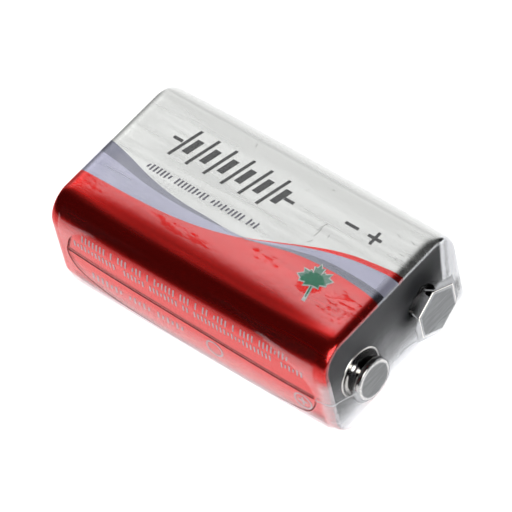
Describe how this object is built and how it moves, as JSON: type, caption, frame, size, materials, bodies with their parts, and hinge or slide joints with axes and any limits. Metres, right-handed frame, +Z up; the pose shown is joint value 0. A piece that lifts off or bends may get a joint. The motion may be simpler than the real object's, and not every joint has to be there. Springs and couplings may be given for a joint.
{
  "type": "nine volt battery",
  "caption": "Rectangular nine volt battery lying on its broad face, with a round stud and a six-sided snap socket on one end and flat cells stacked in a steel jacket.",
  "frame": {"origin": "middle of the underside, on the surface the battery lies on", "axes": "+X towards the snap terminals, +Y across the width towards the six-sided socket, +Z up through the thickness"},
  "size_m": [0.0484, 0.0264, 0.0168],
  "materials": {
    "clear_film": "clear glossy shrink film",
    "printed_steel": "glossy printed tinplate, silver above and metallic red below",
    "board": "dark grey insulating board",
    "card": "grey-brown card",
    "sleeve": "thin shrunk plastic",
    "tinplate": "bright tinned strip",
    "nickel": "bright nickel plate",
    "cell_envelope": "thin shrunk plastic band",
    "zinc": "dull rolled zinc",
    "paper": "coated separator paper",
    "mix": "pressed black depolariser mix"
  },
  "bodies": {
    "root": {"film_wrap": "clear_film", "jacket": "printed_steel", "jacket_liner": "card", "terminal_plate": "board", "base_plate": "board", "bottom_pad": "card", "top_pad": "card", "stack_sleeve": "sleeve", "positive_contact": "tinplate", "positive_tab": "tinplate", "negative_strip": "tinplate", "positive_rivet": "tinplate", "negative_rivet": "tinplate", "positive_snap": "nickel", "negative_snap": "nickel", "cell_1_envelope": "cell_envelope", "cell_1_zinc_plate": "zinc", "cell_1_separator": "paper", "cell_1_mix_cake": "mix", "cell_2_envelope": "cell_envelope", "cell_2_zinc_plate": "zinc", "cell_2_separator": "paper", "cell_2_mix_cake": "mix", "cell_3_envelope": "cell_envelope", "cell_3_zinc_plate": "zinc", "cell_3_separator": "paper", "cell_3_mix_cake": "mix", "cell_4_envelope": "cell_envelope", "cell_4_zinc_plate": "zinc", "cell_4_separator": "paper", "cell_4_mix_cake": "mix", "cell_5_envelope": "cell_envelope", "cell_5_zinc_plate": "zinc", "cell_5_separator": "paper", "cell_5_mix_cake": "mix", "cell_6_envelope": "cell_envelope", "cell_6_zinc_plate": "zinc", "cell_6_separator": "paper", "cell_6_mix_cake": "mix"}
  },
  "joints": []
}
